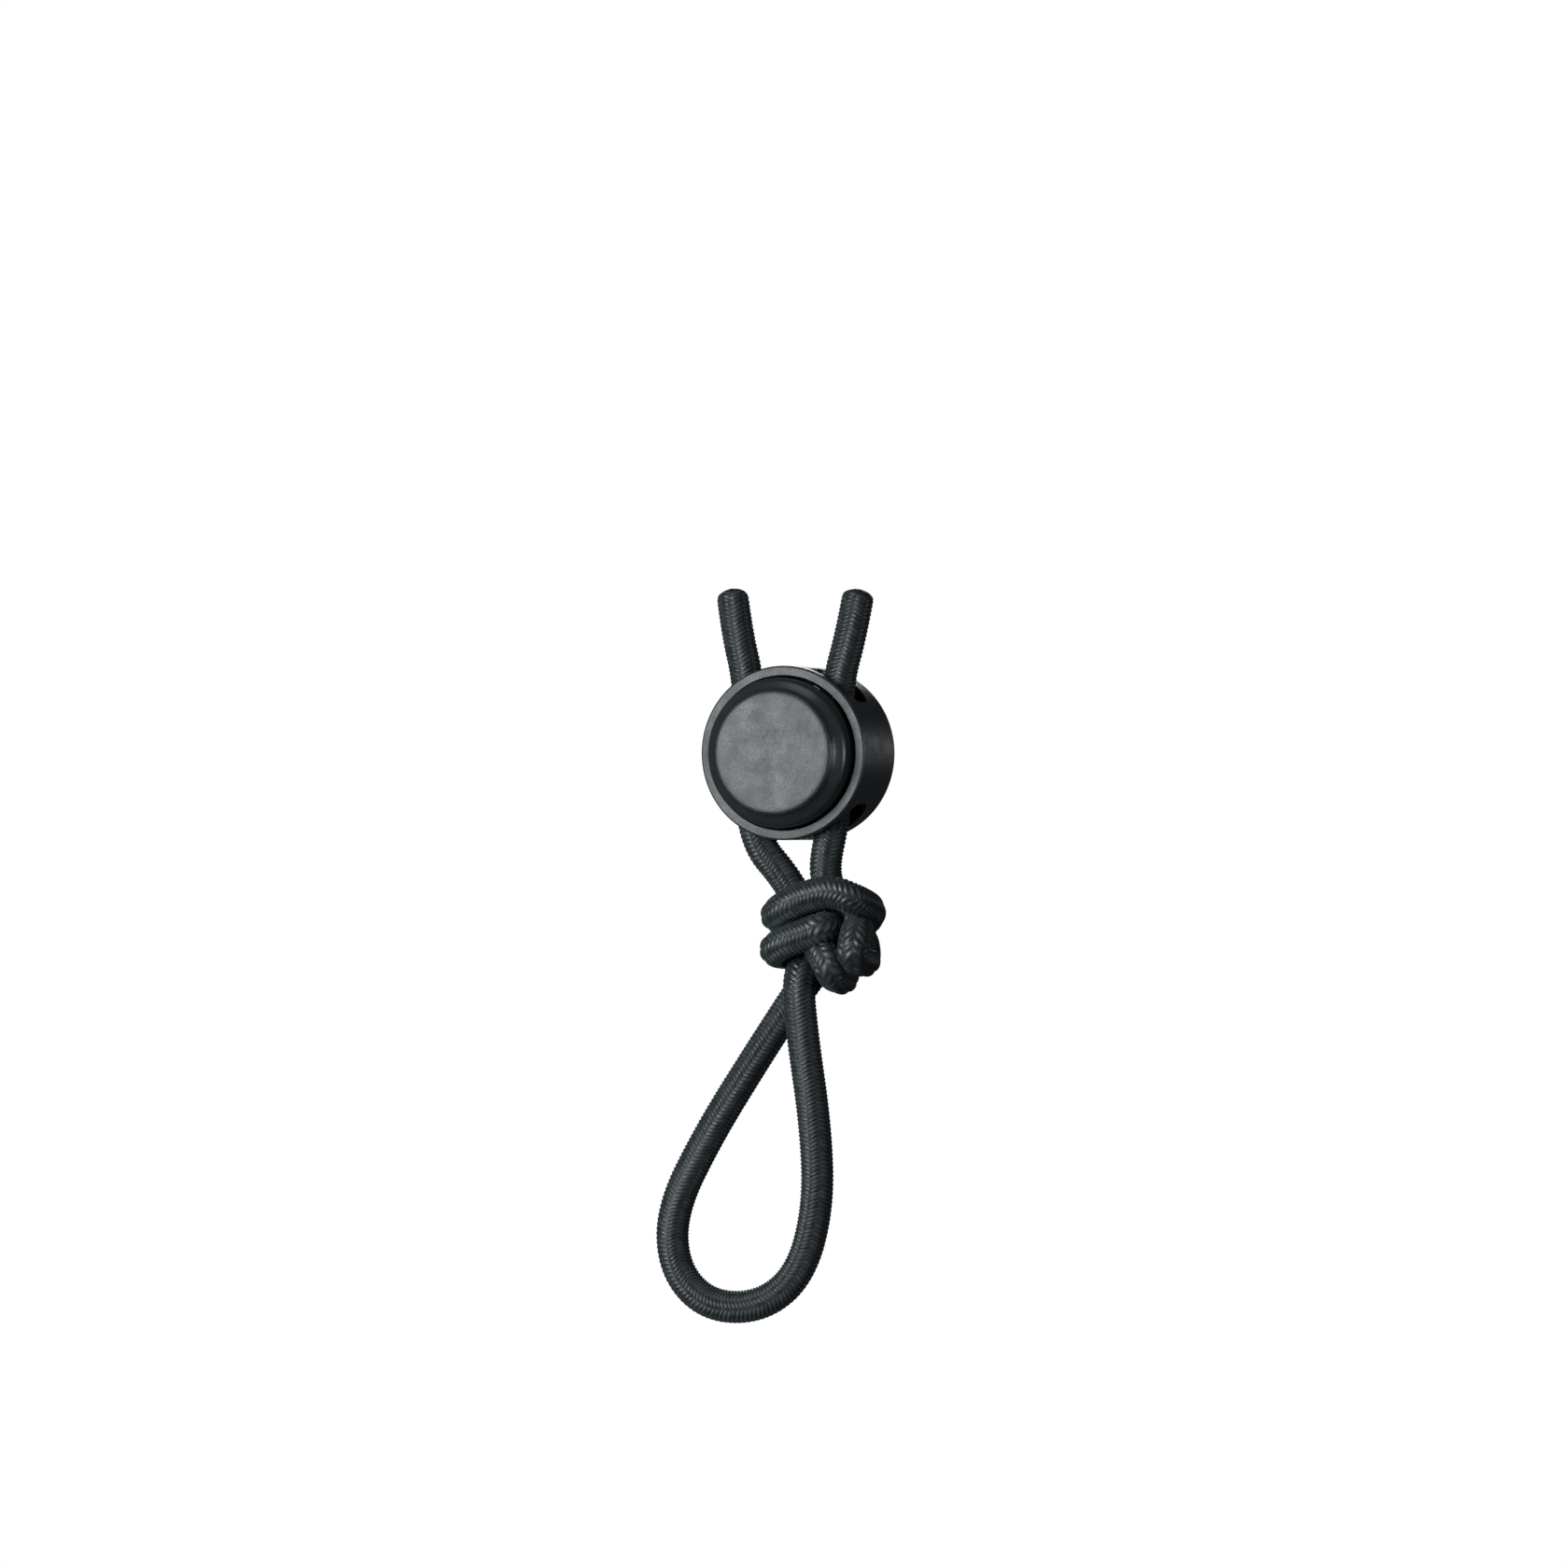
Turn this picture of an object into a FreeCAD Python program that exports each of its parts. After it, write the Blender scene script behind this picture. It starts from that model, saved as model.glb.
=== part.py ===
# Two-hole push-button cord lock on a knotted loop of elastic drawcord, hanging from the hem it closes.
# A moulded drum holds a sprung button with a notch each side. The two legs of the cord run down through
# the drum's oval holes and the button's notches, and the spring nips them against the holes' front edges.
# Frame: millimetres, +Z up, +Y into the drum from its open front. The origin lies midway between the two
# places where the cord leaves the hem, and the plane Y = 0 holds the centre lines of both legs.
import FreeCAD, Part
import math
import os

import Sketcher
from FreeCAD import Rotation, Vector

DRIVING_SIZES = {
    # drum, measured from its rim plane along its own axis
    "drum_radius": 10.0,
    "drum_depth": 11.0,
    "bore_radius": 8.95,
    "bore_depth": 9.8,
    "rim_bevel": 0.2,
    "back_rounding": 1.0,
    "drum_drop": 10.6,
    "rim_to_cord": 3.55,
    # rounded cord holes through the drum's top and bottom walls
    "hole_inner": 2.2,
    "hole_outer": 8.1,
    "hole_front": 1.5,
    "hole_back": 7.4,
    "hole_rounding": 2.0,
    # spring seat on the floor of the drum, and the two keys that stop the button turning
    "seat_radius": 1.25,
    "seat_height": 1.6,
    "key_width": 1.2,
    "key_foot": 8.4,
    "key_start": 5.6,
    # push button, measured from the middle of its face
    "button_proud": 3.5,
    "button_radius": 8.6,
    "face_radius": 7.0,
    "face_crown": 0.2,
    "shoulder_depth": 3.0,
    "face_edge_rounding": 0.5,
    "button_length": 10.4,
    "notch_front": 3.8,
    "notch_back": 9.1,
    "notch_reach": 10.0,
    "web_half": 2.5,
    "pocket_radius": 2.1,
    "pocket_depth": 7.9,
    "keyway_width": 1.6,
    "keyway_foot": 8.1,
    # compression spring
    "spring_radius": 1.72,
    "wire_diameter": 0.4,
    "spring_length": 10.7,
    "spring_turns": 9.0,
    # elastic cord: woven sheath over a rubber core
    "cord_diameter": 3.8,
    "core_diameter": 2.8,
    # overhand knot in the doubled cord: the upper band, the lower band and the two crossing bends
    "upper_band_middle": 3.5,
    "lower_band_middle": 3.0,
    "band_half_width": 6.5,
    "band_half_depth": 5.6,
    "upper_band_drop": 28.5,
    "upper_band_half_height": 3.1,
    "lower_band_drop": 32.7,
    "lower_band_half_height": 3.5,
    "bends_middle": 6.7,
    "bends_drop": 33.9,
    "bends_radius": 3.6,
    "neck_length": 3.0,
}

# Control points of the cord's route, each leg from its cut end down to the knot, and the loop from the
# front of the knot round to the back of it.
LEFT_LEG = [(-7.7, 0.3, 8.4), (-6.9, 0.0, 3.2), (-5.5, 0.0, -2.2), (-5.3, 0.0, -11.2),
            (-4.95, 0.0, -20.5), (-0.75, 0.3, -25.2)]
RIGHT_LEG = [(8.0, 0.3, 8.2), (7.1, 0.0, 3.0), (5.5, 0.0, -2.4), (5.4, 0.0, -9.6),
             (5.05, 0.0, -18.0), (3.45, 0.3, -24.6)]
LOOP = [(1.55, -1.9, -36.6), (1.7, -1.7, -42.6), (3.1, -0.9, -53.6), (3.2, -0.3, -62.6),
        (0.9, 0.0, -70.5), (-4.0, 0.0, -74.4), (-10.6, 0.1, -74.4), (-14.8, 0.2, -70.2),
        (-15.2, 0.3, -63.4), (-10.6, 0.7, -54.4), (-4.7, 1.2, -45.2), (0.8, 1.9, -36.9)]
ARC_SHARE = 0.45          # share of the shorter run that each arc of a tube may take up

document = FreeCAD.newDocument("cord_lock")
sheet = document.addObject("Spreadsheet::Sheet", "sizes")
for row, (alias, millimetres) in enumerate(DRIVING_SIZES.items(), start=1):
    sheet.set(f"A{row}", alias.replace("_", " "))
    sheet.set(f"B{row}", str(millimetres))
    sheet.setAlias(f"B{row}", alias)
document.recompute()


def size(alias):
    """A driving dimension, read from the sheet."""
    return float(sheet.get(alias))


def bind(feature, **expressions):
    """Ties a feature's properties to formulas in the sheet's aliases."""
    for name, formula in expressions.items():
        feature.setExpression(name.replace("__", "."), formula)


def new_body(label, front):
    """A PartDesign body whose own Z axis is the drum's axis, pointing backwards, with its front set by a formula."""
    body = document.addObject("PartDesign::Body", label)
    body.Label = label
    body.Placement = FreeCAD.Placement(Vector(0, 0, 0), Rotation(Vector(1, 0, 0), -90))
    bind(body, Placement__Base__y=front, Placement__Base__z="-sizes.drum_drop")
    return body


def origin_plane(body, role):
    return next(item for item in body.Origin.OriginFeatures if item.Role == role)


def new_sketch(body, name, role, height=None):
    """A sketch on one of the body's origin planes, moved off it along its normal by a formula."""
    sketch = body.newObject("Sketcher::SketchObject", name)
    sketch.AttachmentSupport = [(origin_plane(body, role), "")]
    sketch.MapMode = "FlatFace"
    if height:
        sketch.setExpression("AttachmentOffset.Base.z", height)
    return sketch


def fix(sketch, formula, *constraint):
    """Adds a dimension to a sketch and ties it to a formula."""
    index = sketch.addConstraint(Sketcher.Constraint(*constraint))
    sketch.setExpression(f"Constraints[{index}]", formula)


def round_sketch(body, name, alias, height=None):
    """A circle about the body's axis."""
    sketch = new_sketch(body, name, "XY_Plane", height)
    sketch.addGeometry(Part.Circle(Vector(0, 0, 0), Vector(0, 0, 1), size(alias)))
    sketch.addConstraint(Sketcher.Constraint("Coincident", 0, 3, -1, 1))
    fix(sketch, f"sizes.{alias}", "Radius", 0, size(alias))
    return sketch


def box_sketch(body, name, role, sides, height=None):
    """A rectangle by its sides' aliases: left, right, low and high, or the width of a centred one, low and high."""
    sketch = new_sketch(body, name, role, height)
    *across, low, high = sides
    left = size(across[0]) if len(across) == 2 else -size(across[0]) / 2
    right = size(across[-1]) if len(across) == 2 else size(across[0]) / 2
    corners = [(left, size(low)), (right, size(low)), (right, size(high)), (left, size(high))]
    for start, end in zip(corners, corners[1:] + corners[:1]):
        sketch.addGeometry(Part.LineSegment(Vector(*start, 0), Vector(*end, 0)))
    for side in range(4):
        sketch.addConstraint(Sketcher.Constraint("Coincident", side, 2, (side + 1) % 4, 1))
        sketch.addConstraint(Sketcher.Constraint("Vertical" if side % 2 else "Horizontal", side))
    fix(sketch, f"sizes.{low}", "DistanceY", -1, 1, 0, 1, size(low))
    fix(sketch, f"sizes.{high}", "DistanceY", -1, 1, 1, 2, size(high))
    if len(across) == 2:
        fix(sketch, f"sizes.{across[0]}", "DistanceX", -1, 1, 0, 1, left)
        fix(sketch, f"sizes.{across[1]}", "DistanceX", -1, 1, 0, 2, right)
    else:
        fix(sketch, f"sizes.{across[0]}", "DistanceX", 0, 1, 0, 2, right - left)
        fix(sketch, f"sizes.{across[0]} / 2", "DistanceX", -1, 1, 0, 2, right)
    return sketch


def extrude(body, kind, name, sketch, length=None, reverse=False):
    """A Pad or Pocket of a sketch: to a length, or right through the body both ways."""
    before = 0.0 if body.Shape.isNull() else body.Shape.Volume
    feature = body.newObject(f"PartDesign::{kind}", name)
    feature.Profile = sketch
    feature.Reversed = reverse
    if length:
        bind(feature, Length=length)
    else:
        feature.Type = "ThroughAll"
        feature.SideType = "Symmetric"
    document.recompute()
    added = body.Shape.Volume - before
    if added * (1 if kind == "Pad" else -1) <= 0:
        raise ValueError(f"{name} changed the volume of {body.Label} by {added:.2f} mm3, the wrong way")
    return feature


def mirror(body, name, feature, role):
    """Repeats a feature across one of the body's origin planes."""
    twin = body.newObject("PartDesign::Mirrored", name)
    twin.Originals = [feature]
    twin.MirrorPlane = (origin_plane(body, role), [""])
    body.Tip = twin
    document.recompute()


def dress_edge(body, kind, name, alias, radius, height):
    """A Fillet or Chamfer on the round edge of a given radius and height along the body's axis."""
    previous = body.Tip
    edges = []
    for number, edge in enumerate(previous.Shape.Edges, start=1):
        if edge.Degenerated or not isinstance(edge.Curve, Part.Circle):
            continue
        if (math.isclose(edge.Curve.Radius, radius, abs_tol=0.01)
                and math.isclose(edge.Curve.Center.z, height, abs_tol=0.01)):
            edges.append(f"Edge{number}")
    feature = body.newObject(f"PartDesign::{kind}", name)
    feature.Base = (previous, edges)
    feature.setExpression("Radius" if kind == "Fillet" else "Size", f"sizes.{alias}")
    document.recompute()


def make_housing():
    """Moulded drum: a cup open at the front, with four cord holes, two keys and a spring seat."""
    body = new_body("housing", "-sizes.rim_to_cord")
    extrude(body, "Pad", "drum", round_sketch(body, "drum_outline", "drum_radius"), "sizes.drum_depth")
    dress_edge(body, "Fillet", "back_edge", "back_rounding", size("drum_radius"), size("drum_depth"))
    dress_edge(body, "Chamfer", "rim_edge", "rim_bevel", size("drum_radius"), 0.0)
    bore = round_sketch(body, "bore_outline", "bore_radius")
    extrude(body, "Pocket", "bore", bore, "sizes.bore_depth", reverse=True)
    key = box_sketch(body, "key_outline", "XY_Plane", ("key_width", "key_foot", "bore_radius"), "sizes.key_start")
    key_pad = extrude(body, "Pad", "key", key, "sizes.bore_depth - sizes.key_start")
    mirror(body, "key_pair", key_pad, "XZ_Plane")
    seat = round_sketch(body, "seat_outline", "seat_radius", "sizes.bore_depth")
    extrude(body, "Pad", "spring_seat", seat, "sizes.seat_height", reverse=True)
    mirror(body, "cord_hole_pairs", extrude(body, "Pocket", "cord_holes", hole_sketch(body)), "YZ_Plane")
    return body


def hole_sketch(body):
    """Outline of the right-hand cord hole, a rectangle with well rounded corners."""
    sketch = new_sketch(body, "hole_outline", "XZ_Plane")
    inner, outer, front, back = (size(f"hole_{side}") for side in ("inner", "outer", "front", "back"))
    radius = size("hole_rounding")
    centres = [(outer - radius, front + radius), (outer - radius, back - radius),
               (inner + radius, back - radius), (inner + radius, front + radius)]
    arcs = [Part.ArcOfCircle(Part.Circle(Vector(*centre, 0), Vector(0, 0, 1), radius),
                             (turn - 1) * math.pi / 2, turn * math.pi / 2) for turn, centre in enumerate(centres)]
    for corner in range(4):
        sketch.addGeometry(arcs[corner])
        sketch.addGeometry(Part.LineSegment(arcs[corner].EndPoint, arcs[(corner + 1) % 4].StartPoint))
    for piece in range(8):
        sketch.addConstraint(Sketcher.Constraint("Tangent", piece, 2, (piece + 1) % 8, 1))
    for corner in range(4):
        side = 2 * corner + 1
        sketch.addConstraint(Sketcher.Constraint("Horizontal" if corner % 2 else "Vertical", side))
    for corner in range(1, 4):
        sketch.addConstraint(Sketcher.Constraint("Equal", 0, 2 * corner))
    fix(sketch, "sizes.hole_rounding", "Radius", 0, radius)
    fix(sketch, "sizes.hole_outer", "DistanceX", -1, 1, 1, 1, outer)
    fix(sketch, "sizes.hole_back", "DistanceY", -1, 1, 3, 1, back)
    fix(sketch, "sizes.hole_inner", "DistanceX", -1, 1, 5, 1, inner)
    fix(sketch, "sizes.hole_front", "DistanceY", -1, 1, 7, 1, front)
    return sketch


def make_push_button():
    """Moulded button: a crowned face on a round skirt, notched each side to let the cords through."""
    body = new_body("push_button", "-sizes.rim_to_cord - sizes.button_proud")
    turning = body.newObject("PartDesign::Revolution", "button_blank")
    turning.Profile = button_sketch(body)
    turning.ReferenceAxis = (turning.Profile[0], ["V_Axis"])
    body.Tip = turning
    document.recompute()
    dress_edge(body, "Fillet", "face_edge", "face_edge_rounding", size("face_radius"), size("face_crown"))
    notch = box_sketch(body, "notch_outline", "XZ_Plane", ("web_half", "notch_reach", "notch_front", "notch_back"))
    mirror(body, "notch_pair", extrude(body, "Pocket", "cord_notch", notch), "YZ_Plane")
    keyway = box_sketch(body, "keyway_outline", "XY_Plane", ("keyway_width", "keyway_foot", "notch_reach"),
                        "sizes.notch_front")
    keyway_cut = extrude(body, "Pocket", "keyway", keyway, "sizes.button_length - sizes.notch_front", reverse=True)
    mirror(body, "keyway_pair", keyway_cut, "XZ_Plane")
    pocket = round_sketch(body, "pocket_outline", "pocket_radius", "sizes.button_length")
    extrude(body, "Pocket", "spring_pocket", pocket, "sizes.pocket_depth")
    return body


def button_sketch(body):
    """Half outline of the button: crowned face, rounded shoulder and straight skirt, to turn about the axis."""
    sketch = new_sketch(body, "button_outline", "XZ_Plane")
    face, crown = size("face_radius"), size("face_crown")
    skirt, shoulder, length = size("button_radius"), size("shoulder_depth"), size("button_length")
    crown_radius = (face ** 2 + crown ** 2) / (2 * crown)
    half_sweep = math.asin(face / crown_radius) / 2
    crown_middle = Vector(crown_radius * math.sin(half_sweep), crown_radius * (1 - math.cos(half_sweep)), 0)
    drop, inset = shoulder - crown, skirt - face
    shoulder_radius = (drop ** 2 + inset ** 2) / (2 * inset)
    half_sweep = math.asin(drop / shoulder_radius) / 2
    shoulder_middle = Vector(skirt - shoulder_radius * (1 - math.cos(half_sweep)),
                             shoulder - shoulder_radius * math.sin(half_sweep), 0)
    apex, rim = Vector(0, 0, 0), Vector(face, crown, 0)
    skirt_top, skirt_foot, foot = Vector(skirt, shoulder, 0), Vector(skirt, length, 0), Vector(0, length, 0)
    sketch.addGeometry(Part.Arc(apex, crown_middle, rim))
    sketch.addGeometry(Part.Arc(rim, shoulder_middle, skirt_top))
    sketch.addGeometry(Part.LineSegment(skirt_top, skirt_foot))
    sketch.addGeometry(Part.LineSegment(skirt_foot, foot))
    sketch.addGeometry(Part.LineSegment(foot, apex))
    for piece in (0, 2, 3, 4):
        sketch.addConstraint(Sketcher.Constraint("Coincident", piece, 2, (piece + 1) % 5, 1))
    sketch.addConstraint(Sketcher.Constraint("Tangent", 1, 2, 2, 1))
    sketch.addConstraint(Sketcher.Constraint("Coincident", 0, 1, -1, 1))
    sketch.addConstraint(Sketcher.Constraint("PointOnObject", 0, 3, -2))
    sketch.addConstraint(Sketcher.Constraint("Vertical", 2))
    sketch.addConstraint(Sketcher.Constraint("Horizontal", 3))
    sketch.addConstraint(Sketcher.Constraint("Vertical", 4))
    fix(sketch, "sizes.face_radius", "DistanceX", -1, 1, 0, 2, face)
    fix(sketch, "sizes.face_crown", "DistanceY", -1, 1, 0, 2, crown)
    fix(sketch, "sizes.button_radius", "DistanceX", -1, 1, 2, 1, skirt)
    fix(sketch, "sizes.shoulder_depth", "DistanceY", -1, 1, 2, 1, shoulder)
    fix(sketch, "sizes.button_length", "DistanceY", -1, 1, 2, 2, length)
    return sketch


def make_spring():
    """Steel compression spring between the bottom of the button's pocket and the floor of the drum."""
    body = new_body("spring", "sizes.bore_depth - sizes.rim_to_cord - sizes.spring_length")
    sketch = new_sketch(body, "wire_section", "XZ_Plane")
    wire_radius = size("wire_diameter") / 2
    sketch.addGeometry(Part.Circle(Vector(size("spring_radius"), wire_radius, 0), Vector(0, 0, 1), wire_radius))
    fix(sketch, "sizes.wire_diameter / 2", "Radius", 0, wire_radius)
    fix(sketch, "sizes.spring_radius", "DistanceX", -1, 1, 0, 3, size("spring_radius"))
    fix(sketch, "sizes.wire_diameter / 2", "DistanceY", -1, 1, 0, 3, wire_radius)
    coil = body.newObject("PartDesign::AdditiveHelix", "coil")
    coil.Profile = sketch
    coil.ReferenceAxis = (sketch, ["V_Axis"])
    coil.Mode = "height-turns-angle"
    bind(coil, Height="sizes.spring_length - sizes.wire_diameter", Turns="sizes.spring_turns")
    body.Tip = coil
    document.recompute()
    return body


def cord_path(points, label):
    """Wire of straight runs joined by tangent arcs, each as large as its two runs allow."""
    corners = [Vector(*point) for point in points]
    edges, radii = [], []
    start = corners[0]
    for before, corner, after in zip(corners, corners[1:], corners[2:]):
        back, ahead = before - corner, after - corner
        reach = ARC_SHARE * min(back.Length, ahead.Length)
        half_turn = (math.pi - back.getAngle(ahead)) / 2
        radius = reach / math.tan(half_turn)
        radii.append(radius)
        back.normalize()
        ahead.normalize()
        arc_start, arc_end = corner + back * reach, corner + ahead * reach
        inward = (back + ahead).normalize()
        middle = corner + inward * (radius / math.cos(half_turn) - radius)
        edges.append(Part.LineSegment(start, arc_start).toShape())
        edges.append(Part.Arc(arc_start, middle, arc_end).toShape())
        start = arc_end
    edges.append(Part.LineSegment(start, corners[-1]).toShape())
    print(label, "arc radii in mm:", ", ".join(f"{radius:.1f}" for radius in radii))
    return Part.Wire(edges)


def swept_round(path, diameter):
    """A round bar along a path, checked against its section times its length."""
    start = path.Edges[0]
    section = Part.Circle(start.valueAt(start.FirstParameter), start.tangentAt(start.FirstParameter), diameter / 2)
    bar = path.makePipeShell([Part.Wire(section.toShape())], True, True)
    expected = math.pi * diameter ** 2 / 4 * path.Length
    if not math.isclose(bar.Volume, expected, rel_tol=0.01):
        raise ValueError(f"the bar holds {bar.Volume:.1f} mm3 and not {expected:.1f} mm3")
    return bar


def make_cord(label, points):
    """One stretch of elastic cord, as its woven sheath and the rubber core inside it."""
    path = cord_path(points, label)
    whole = swept_round(path, size("cord_diameter"))
    core = swept_round(path, size("core_diameter"))
    print(f"{label}: {path.Length:.1f} mm long, sheath and core {whole.Volume:.1f} mm3")
    return [new_solid(f"{label}_sheath", whole.cut(core)), new_solid(f"{label}_core", core)]


def new_solid(label, shape):
    solid = document.addObject("Part::Feature", label)
    solid.Label = label
    solid.Shape = shape
    solid.Placement = FreeCAD.Placement()
    return solid


def band(label, middle, drop, half_width, half_height):
    """A rounded lump of the knot, wide across the drum's axis."""
    lump = document.addObject("Part::Ellipsoid", label)
    bind(lump, Radius1=half_height, Radius2=half_width, Radius3="sizes.band_half_depth",
         Placement__Base__x=middle, Placement__Base__z=f"-{drop}")
    return lump


def neck(label, mouth, beside):
    """A short stub of the knot that meets the end of a cord face to face."""
    stub = document.addObject("Part::Cylinder", label)
    bind(stub, Radius="sizes.cord_diameter / 2", Height="sizes.neck_length")
    inward = Vector(*mouth) - Vector(*beside)
    stub.Placement = FreeCAD.Placement(Vector(*mouth), Rotation(Vector(0, 0, 1), inward))
    return stub


def make_knot():
    """Outer shape of the overhand knot tied in the doubled cord, with a stub for each cord that leaves it."""
    upper = band("upper_band", "sizes.upper_band_middle", "sizes.upper_band_drop",
                 "sizes.band_half_width", "sizes.upper_band_half_height")
    lower = band("lower_band", "sizes.lower_band_middle", "sizes.lower_band_drop",
                 "sizes.band_half_width", "sizes.lower_band_half_height")
    bends = document.addObject("Part::Sphere", "crossing_bends")
    bind(bends, Radius="sizes.bends_radius", Placement__Base__x="sizes.bends_middle",
         Placement__Base__z="-sizes.bends_drop")
    necks = [neck("left_neck", LEFT_LEG[-1], LEFT_LEG[-2]), neck("right_neck", RIGHT_LEG[-1], RIGHT_LEG[-2]),
             neck("front_neck", LOOP[0], LOOP[1]), neck("back_neck", LOOP[-1], LOOP[-2])]
    knot = document.addObject("Part::MultiFuse", "cord_knot")
    knot.Label = "cord_knot"
    knot.Shapes = [upper, lower, bends, *necks]
    document.recompute()
    return knot


def write_parts(solids):
    """Checks that every object of the document is sound, and writes each sub-part to its own file."""
    document.recompute()
    for item in document.Objects:
        if "Invalid" in item.State or "Error" in item.State:
            raise ValueError(f"{item.Label} failed to recompute: {item.State}")
    os.makedirs("parts", exist_ok=True)
    for solid in solids:
        shape = solid.Shape
        if shape.isNull() or not shape.isValid() or not shape.Solids:
            raise ValueError(f"{solid.Label} has no sound shape")
        shape.exportStep(os.path.join("parts", f"{solid.Label}.step"))
        box = shape.BoundBox
        print(f"{solid.Label}: {len(shape.Solids)} solid, {shape.Volume:.1f} mm3, x {box.XMin:.2f} to {box.XMax:.2f},"
              f" y {box.YMin:.2f} to {box.YMax:.2f}, z {box.ZMin:.2f} to {box.ZMax:.2f}")


housing = make_housing()
push_button = make_push_button()
spring = make_spring()
cords = make_cord("left_leg", LEFT_LEG) + make_cord("right_leg", RIGHT_LEG) + make_cord("loop", LOOP)
cord_knot = make_knot()
write_parts([housing, push_button, spring, *cords, cord_knot])
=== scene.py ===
"""A round cord lock on a doubled shock cord, tied below in an overhand knot and a pull loop."""
import math

import bmesh
import bpy
import numpy as np
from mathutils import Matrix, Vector


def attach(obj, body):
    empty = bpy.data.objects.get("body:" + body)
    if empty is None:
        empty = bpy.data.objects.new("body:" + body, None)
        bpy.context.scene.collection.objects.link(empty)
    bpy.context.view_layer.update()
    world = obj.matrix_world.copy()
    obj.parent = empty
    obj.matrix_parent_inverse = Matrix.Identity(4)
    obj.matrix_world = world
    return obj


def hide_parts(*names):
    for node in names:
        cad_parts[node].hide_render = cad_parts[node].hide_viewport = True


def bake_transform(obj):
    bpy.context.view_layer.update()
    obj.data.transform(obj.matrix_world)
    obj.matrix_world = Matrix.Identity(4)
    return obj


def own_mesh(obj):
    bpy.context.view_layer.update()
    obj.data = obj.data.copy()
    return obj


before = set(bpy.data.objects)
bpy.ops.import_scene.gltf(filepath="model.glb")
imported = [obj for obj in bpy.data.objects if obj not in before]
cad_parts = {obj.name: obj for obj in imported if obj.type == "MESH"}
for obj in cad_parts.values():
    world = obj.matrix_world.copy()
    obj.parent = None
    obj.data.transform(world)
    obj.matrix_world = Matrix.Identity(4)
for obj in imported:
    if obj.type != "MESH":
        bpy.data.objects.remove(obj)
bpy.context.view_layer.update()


# ---- The view -------------------------------------------------------------------------------
# The lock hangs straight and is seen level, turned about twenty degrees so that its right-hand
# wall shows. A long lens keeps the drum's rim and back wall nearly the same height.

VIEW_TURN = math.radians(20.7)
VIEW_RISE = math.radians(-0.3)
VIEW_DISTANCE = 0.9
VIEW_CENTRE_ACROSS = -0.001062
VIEW_CENTRE_HEIGHT = -0.01414

across = Vector((math.cos(VIEW_TURN), math.sin(VIEW_TURN), 0.0))
inward = Vector((-math.sin(VIEW_TURN), math.cos(VIEW_TURN), 0.0))
look_from = -inward * math.cos(VIEW_RISE) + Vector((0.0, 0.0, math.sin(VIEW_RISE)))
view_centre = across * VIEW_CENTRE_ACROSS + Vector((0.0, 0.0, VIEW_CENTRE_HEIGHT))

camera = bpy.data.objects.new("view", bpy.data.cameras.new("view"))
camera.data.sensor_width = 36.0
camera.data.lens = 179.7
camera.data.clip_start = 0.01
camera.location = view_centre + look_from * VIEW_DISTANCE
camera.rotation_euler = (-look_from).to_track_quat("-Z", "Y").to_euler()
bpy.context.scene.collection.objects.link(camera)
bpy.context.scene.camera = camera


# ---- The shock cord -------------------------------------------------------------------------
# One length of 3.8 mm elastic cord: a rubber core under a braided black polyester sleeve. Both
# ends come down out of a hem, pass through the lock, are tied together in one overhand knot,
# and go on below it as a loop to pull. The cut ends are melted so that they can't fray.

LEFT_LEG = [
    (-0.0077, 0.0003, 0.0084), (-0.0069, 0.0, 0.0032), (-0.0055, 0.0, -0.0022),
    (-0.0053, 0.0, -0.0112), (-0.00495, 0.0, -0.0205), (-0.00075, 0.0003, -0.0252),
]
LEFT_STRAND_IN_KNOT = [
    # down behind both wraps, out in front as the lower lobe, and round its foot to the back
    (0.0016, -0.0004, -0.0292), (0.0024, -0.0004, -0.0318), (0.0054, -0.0042, -0.0338),
    (0.0062, -0.0040, -0.0359), (0.0056, 0.0012, -0.0366), (0.0040, 0.0056, -0.0362),
    # up across the back, round the left side, and over the front as the lower wrap
    (0.0022, 0.0088, -0.0338), (-0.0010, 0.0074, -0.0338), (-0.0021, 0.0026, -0.0337),
    (-0.0015, -0.0026, -0.0332), (0.0004, -0.0043, -0.0323), (0.0028, -0.0044, -0.0315),
    (0.0052, -0.0044, -0.0306),
    # into the hollow on the right, and down through the middle
    (0.0054, -0.0010, -0.0306), (0.0044, 0.0024, -0.0320), (0.0018, 0.0010, -0.0345),
]
LOOP = [
    (0.0013, -0.0021, -0.0360), (0.0017, -0.0017, -0.0426), (0.0031, -0.0009, -0.0536),
    (0.0032, -0.0003, -0.0626), (0.0009, 0.0, -0.0705), (-0.0040, 0.0, -0.0744),
    (-0.0106, 0.0001, -0.0744), (-0.0148, 0.0002, -0.0702), (-0.0152, 0.0003, -0.0634),
    (-0.0106, 0.0007, -0.0544), (-0.0047, 0.0012, -0.0452), (0.0008, 0.0019, -0.0369),
]
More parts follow.
